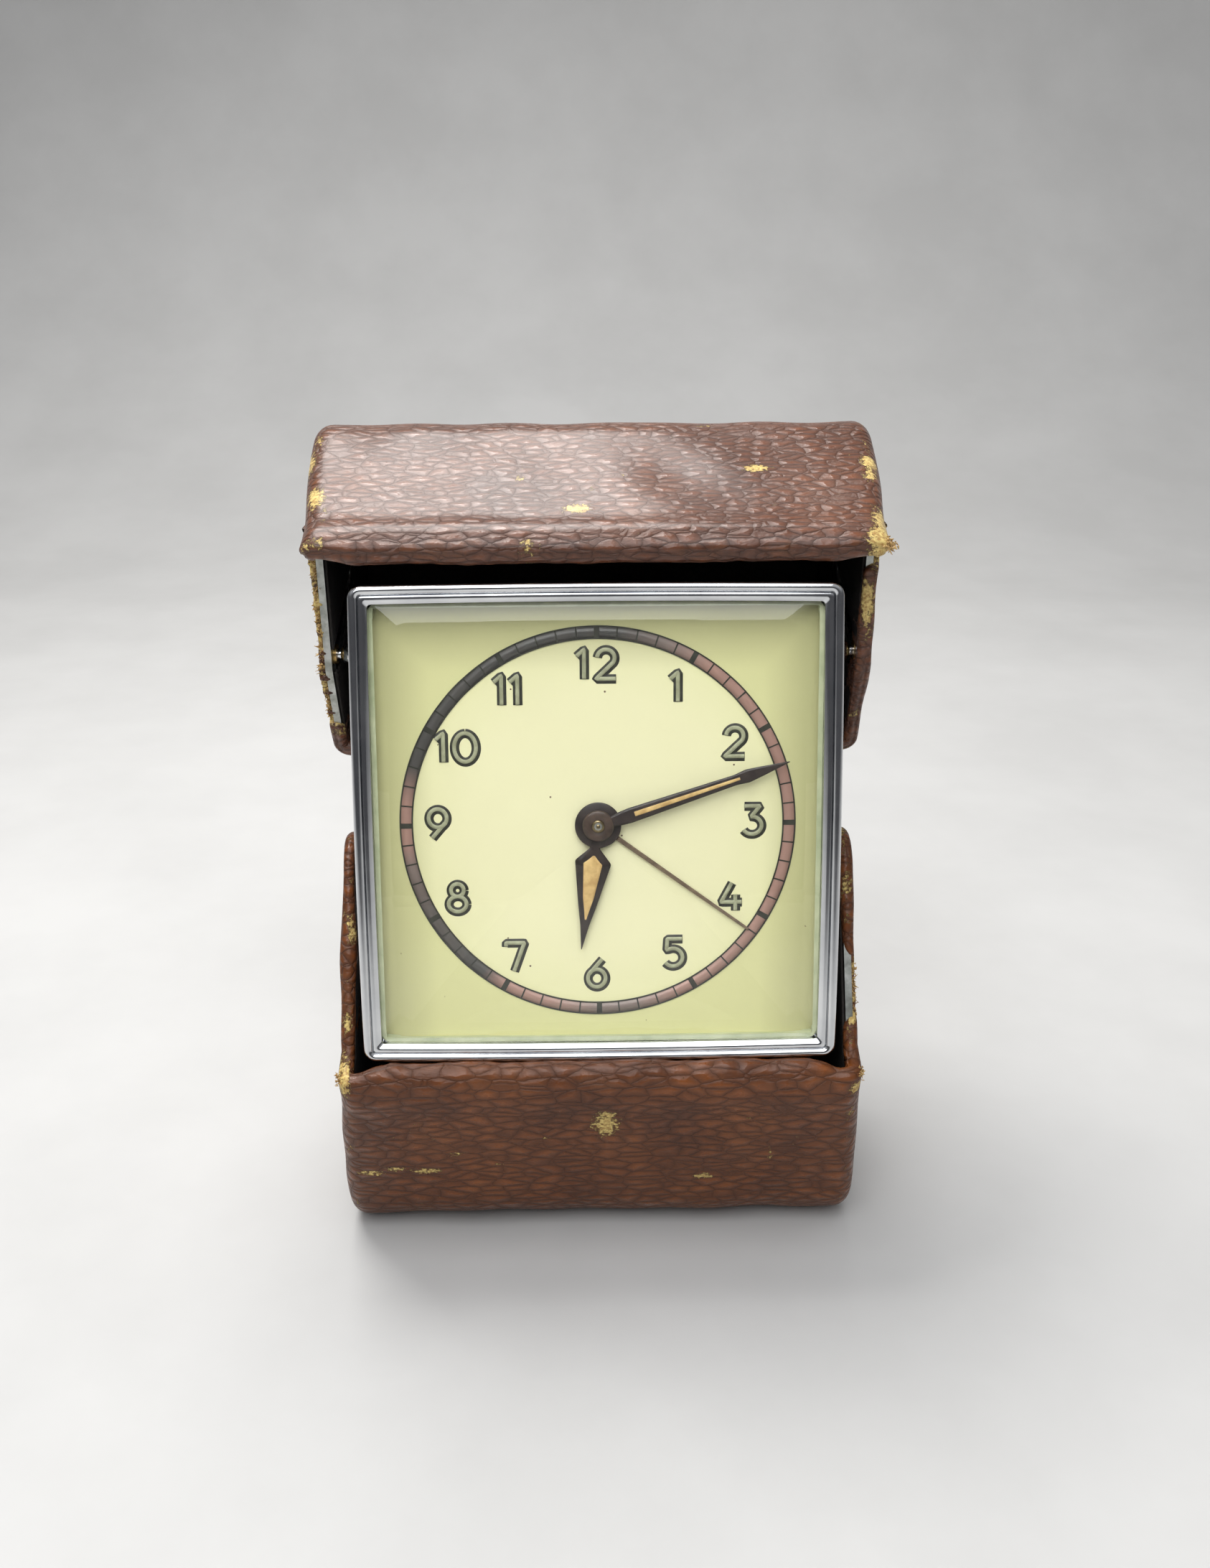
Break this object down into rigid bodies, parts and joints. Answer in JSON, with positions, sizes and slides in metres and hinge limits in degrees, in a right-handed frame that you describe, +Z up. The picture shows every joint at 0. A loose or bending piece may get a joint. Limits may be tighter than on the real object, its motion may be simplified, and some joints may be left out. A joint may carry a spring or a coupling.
{
  "type": "folding travel alarm clock",
  "caption": "Square mechanical alarm clock carried between two leather-covered half shells that slide apart and tilt back to make its stand.",
  "frame": {"origin": "centre of the flat on the lower shell's crown, on which the open clock stands", "axes": "+Z up, dial facing -Y, +X to the right as seen from the front"},
  "size_m": [0.0712, 0.0602, 0.1047],
  "materials": {
    "chrome": "polished, slightly worn",
    "glass": "bevelled, clear",
    "brass": "lightly aged",
    "dial_enamel": "satin lacquer",
    "ring_copper": "metallic",
    "lume": "matte",
    "hand_black": "satin",
    "hand_brass": "satin",
    "steel": "worn",
    "blue_steel": "blued",
    "leather": "grained, worn",
    "lining": "dark, matte"
  },
  "bodies": {
    "clock": {"bezel": "chrome", "crystal": "glass", "dial_spacer": "brass", "case_body": "chrome", "back_cover": "chrome", "back_screws": "chrome", "dial_plate": "dial_enamel", "chapter_ring": "ring_copper", "dial_numerals": "lume", "upper_pivot_studs": "chrome", "lower_pivot_studs": "chrome", "front_plate": "brass", "back_plate": "brass", "plate_pillars": "brass", "cock_screws": "steel", "balance_cock": "brass", "alarm_gong": "brass"},
    "upper_rollers": {"upper_slide_rollers": "brass"},
    "upper_shell": {"upper_shell_core": "steel", "upper_leather_cover": "leather", "upper_lining": "lining"},
    "lower_rollers": {"lower_slide_rollers": "brass"},
    "lower_shell": {"lower_shell_core": "steel", "lower_leather_cover": "leather", "lower_lining": "lining"},
    "minute_body": {"minute_hand": "hand_black", "centre_arbor": "steel", "cannon_pinion": "steel", "hand_set_knob": "brass"},
    "minute_wheel_body": {"minute_wheel": "brass"},
    "hour_body": {"hour_hand": "hand_black", "hour_wheel": "brass"},
    "alarm_hand_body": {"alarm_hand": "hand_brass", "alarm_wheel": "brass"},
    "alarm_setting": {"alarm_set_arbor": "steel", "alarm_set_knob": "brass"},
    "time_winding": {"time_winding_arbor": "steel", "time_key": "brass"},
    "time_barrel_body": {"time_barrel": "brass", "time_mainspring": "blue_steel"},
    "centre_wheel_body": {"centre_wheel": "brass"},
    "third_wheel_body": {"third_wheel": "brass"},
    "fourth_wheel_body": {"fourth_wheel": "brass"},
    "escape_wheel_body": {"escape_wheel": "brass"},
    "pallet_body": {"pallet_lever": "steel"},
    "balance_body": {"balance_wheel": "brass", "hairspring": "blue_steel"},
    "regulator_body": {"regulator_lever": "steel"},
    "alarm_winding": {"alarm_winding_arbor": "steel", "alarm_key": "brass"},
    "alarm_barrel_body": {"alarm_barrel": "brass", "alarm_mainspring": "blue_steel"},
    "star_body": {"alarm_star_wheel": "brass"},
    "hammer_body": {"alarm_hammer": "steel"},
    "stop_button_body": {"alarm_stop_button": "brass"}
  },
  "joints": [
    {"name": "upper_tilt", "type": "hinge", "parent": "clock", "child": "upper_rollers", "pos_m": [0, 0.00461, 0.07768], "axis": [1, 0, 0], "range_deg": [0, 55]},
    {"name": "upper_slide", "type": "slide", "parent": "upper_rollers", "child": "upper_shell", "axis": [0, -0.921, -0.3894], "range_m": [0, 0.01712]},
    {"name": "lower_tilt", "type": "hinge", "parent": "clock", "child": "lower_rollers", "pos_m": [0, -0.0041, 0.037], "axis": [-1, 0, 0], "range_deg": [0, 30]},
    {"name": "lower_slide", "type": "slide", "parent": "lower_rollers", "child": "lower_shell", "axis": [0, -0.3077, 0.9515], "range_m": [0, 0.02202]},
    {"name": "hands_turn", "type": "hinge", "parent": "clock", "child": "minute_body", "pos_m": [0, -0.01085, 0.05971], "axis": [0, 0.9779, -0.2093], "continuous": true},
    {"name": "minute_wheel_turn", "type": "hinge", "parent": "clock", "child": "minute_wheel_body", "pos_m": [0, -0.00575, 0.06681], "axis": [0, 0.9779, -0.2093], "continuous": true},
    {"name": "hour_turn", "type": "hinge", "parent": "clock", "child": "hour_body", "pos_m": [0, -0.01036, 0.05961], "axis": [0, 0.9779, -0.2093], "continuous": true},
    {"name": "alarm_set_turn", "type": "hinge", "parent": "clock", "child": "alarm_setting", "pos_m": [0, -0.01093, 0.04951], "axis": [0, 0.9779, -0.2093], "continuous": true},
    {"name": "alarm_hand_turn", "type": "hinge", "parent": "clock", "child": "alarm_hand_body", "pos_m": [0, -0.00987, 0.05951], "axis": [0, 0.9779, -0.2093], "continuous": true},
    {"name": "time_key_wind", "type": "hinge", "parent": "clock", "child": "time_winding", "pos_m": [-0.01059, 0.00272, 0.05308], "axis": [0, 0.9779, -0.2093], "continuous": true},
    {"name": "alarm_key_wind", "type": "hinge", "parent": "clock", "child": "alarm_winding", "pos_m": [0.012, 0.00222, 0.05078], "axis": [0, 0.9779, -0.2093], "continuous": true},
    {"name": "fourth_wheel_turn", "type": "hinge", "parent": "clock", "child": "fourth_wheel_body", "pos_m": [0.00314, -0.00134, 0.07429], "axis": [0, 0.9779, -0.2093], "continuous": true},
    {"name": "third_wheel_turn", "type": "hinge", "parent": "clock", "child": "third_wheel_body", "pos_m": [0.0046, -0.00209, 0.06599], "axis": [0, 0.9779, -0.2093], "continuous": true},
    {"name": "centre_wheel_turn", "type": "hinge", "parent": "clock", "child": "centre_wheel_body", "pos_m": [0, -0.00087, 0.05758], "axis": [0, 0.9779, -0.2093], "continuous": true},
    {"name": "escape_wheel_turn", "type": "hinge", "parent": "clock", "child": "escape_wheel_body", "pos_m": [0.01141, 0.00073, 0.07534], "axis": [0, 0.9779, -0.2093], "continuous": true},
    {"name": "time_barrel_turn", "type": "hinge", "parent": "clock", "child": "time_barrel_body", "pos_m": [-0.01059, -0.00315, 0.05434], "axis": [0, 0.9779, -0.2093], "continuous": true},
    {"name": "pallet_rock", "type": "hinge", "parent": "clock", "child": "pallet_body", "pos_m": [0.01397, -0.00108, 0.07119], "axis": [0, 0.9779, -0.2093], "range_deg": [-6, 6]},
    {"name": "balance_swing", "type": "hinge", "parent": "clock", "child": "balance_body", "pos_m": [0.01559, -0.00058, 0.06491], "axis": [0, 0.9779, -0.2093], "range_deg": [-150, 150], "stiffness_Nm_per_rad": 0.0000008},
    {"name": "regulator_adjust", "type": "hinge", "parent": "clock", "child": "regulator_body", "pos_m": [0.01559, 0.00323, 0.0641], "axis": [0, 0.9779, -0.2093], "range_deg": [-20, 20]},
    {"name": "alarm_barrel_turn", "type": "hinge", "parent": "clock", "child": "alarm_barrel_body", "pos_m": [0.012, -0.00364, 0.05204], "axis": [0, 0.9779, -0.2093], "continuous": true},
    {"name": "star_wheel_turn", "type": "hinge", "parent": "clock", "child": "star_body", "pos_m": [0.00649, -0.00414, 0.04566], "axis": [0, 0.9779, -0.2093], "continuous": true},
    {"name": "hammer_strike", "type": "hinge", "parent": "clock", "child": "hammer_body", "pos_m": [0.0031, -0.0046, 0.04229], "axis": [0, 0.9779, -0.2093], "range_deg": [-4, 4]},
    {"name": "stop_button_push", "type": "slide", "parent": "clock", "child": "stop_button_body", "axis": [0, -0.9779, 0.2093], "range_m": [0, 0.0015]}
  ],
  "couplings": [
    {"joint": "upper_slide", "follows": "upper_tilt", "m_per_rad": 0.017814},
    {"joint": "lower_slide", "follows": "lower_tilt", "m_per_rad": 0.042017},
    {"joint": "minute_wheel_turn", "follows": "hands_turn", "ratio": -0.33333},
    {"joint": "hour_turn", "follows": "hands_turn", "ratio": 0.083333},
    {"joint": "alarm_hand_turn", "follows": "alarm_set_turn", "ratio": -0.66667},
    {"joint": "third_wheel_turn", "follows": "fourth_wheel_turn", "ratio": -0.16667},
    {"joint": "centre_wheel_turn", "follows": "fourth_wheel_turn", "ratio": 0.025},
    {"joint": "escape_wheel_turn", "follows": "fourth_wheel_turn", "ratio": -6},
    {"joint": "time_barrel_turn", "follows": "fourth_wheel_turn", "ratio": -0.0041667},
    {"joint": "star_wheel_turn", "follows": "alarm_barrel_turn", "ratio": -6}
  ]
}
